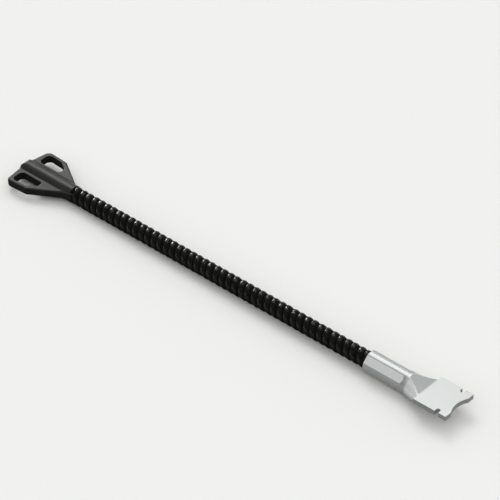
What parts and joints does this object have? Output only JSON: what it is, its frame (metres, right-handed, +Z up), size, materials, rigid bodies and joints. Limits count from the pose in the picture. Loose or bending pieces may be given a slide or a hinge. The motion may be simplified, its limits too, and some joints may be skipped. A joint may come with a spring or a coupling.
{
  "type": "masonry wall tie",
  "caption": "Long ribbed composite rod with a slotted moulded fan at one end for the mortar joint and a crimped steel end flattened to a notched palm that hooks into a wall channel.",
  "frame": {"origin": "On the ground under the middle of the tie's length and width", "axes": "X along the rod, from the fan to the palm; Y across the palm and the fan; Z up, out of the palm's upper face"},
  "size_m": [0.3, 0.033, 0.0125],
  "materials": {
    "rod_black": "glossy resin over wound fibre",
    "fan_black": "matt moulded",
    "steel": "satin"
  },
  "bodies": {
    "root": {"ribbed_rod": "rod_black", "fan_anchor": "fan_black", "steel_end": "steel"}
  },
  "joints": []
}
